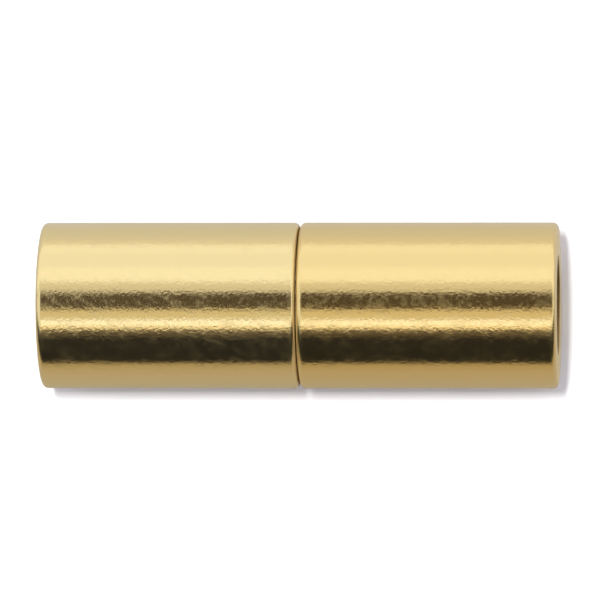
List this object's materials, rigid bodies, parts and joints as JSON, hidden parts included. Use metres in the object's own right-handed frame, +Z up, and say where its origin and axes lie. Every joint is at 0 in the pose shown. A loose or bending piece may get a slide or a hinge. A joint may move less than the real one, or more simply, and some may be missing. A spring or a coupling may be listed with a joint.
{
  "type": "magnetic clasp",
  "caption": "Cylindrical magnetic clasp for a bracelet or necklace: two plated barrels meet end to end, each with a blind bore for a glued-in round cord.",
  "frame": {"origin": "on the clasp's axis, in the middle of the seam between the two closed halves", "axes": "+X along the clasp's axis towards the half that pulls away, +Z up as the clasp lies on its side"},
  "size_m": [0.0186, 0.006, 0.006],
  "materials": {
    "gold_plate": "polished gold plate with a fine grain",
    "magnet_nickel": "bright nickel plate"
  },
  "bodies": {
    "left_half": {"left_barrel": "gold_plate", "left_magnet": "magnet_nickel"},
    "right_half": {"right_barrel": "gold_plate", "right_magnet": "magnet_nickel"}
  },
  "joints": [
    {"name": "pull_apart", "type": "slide", "parent": "left_half", "child": "right_half", "axis": [1, 0, 0], "range_m": [0, 0.01], "stiffness_N_per_m": 3, "springref_m": -0.01}
  ]
}
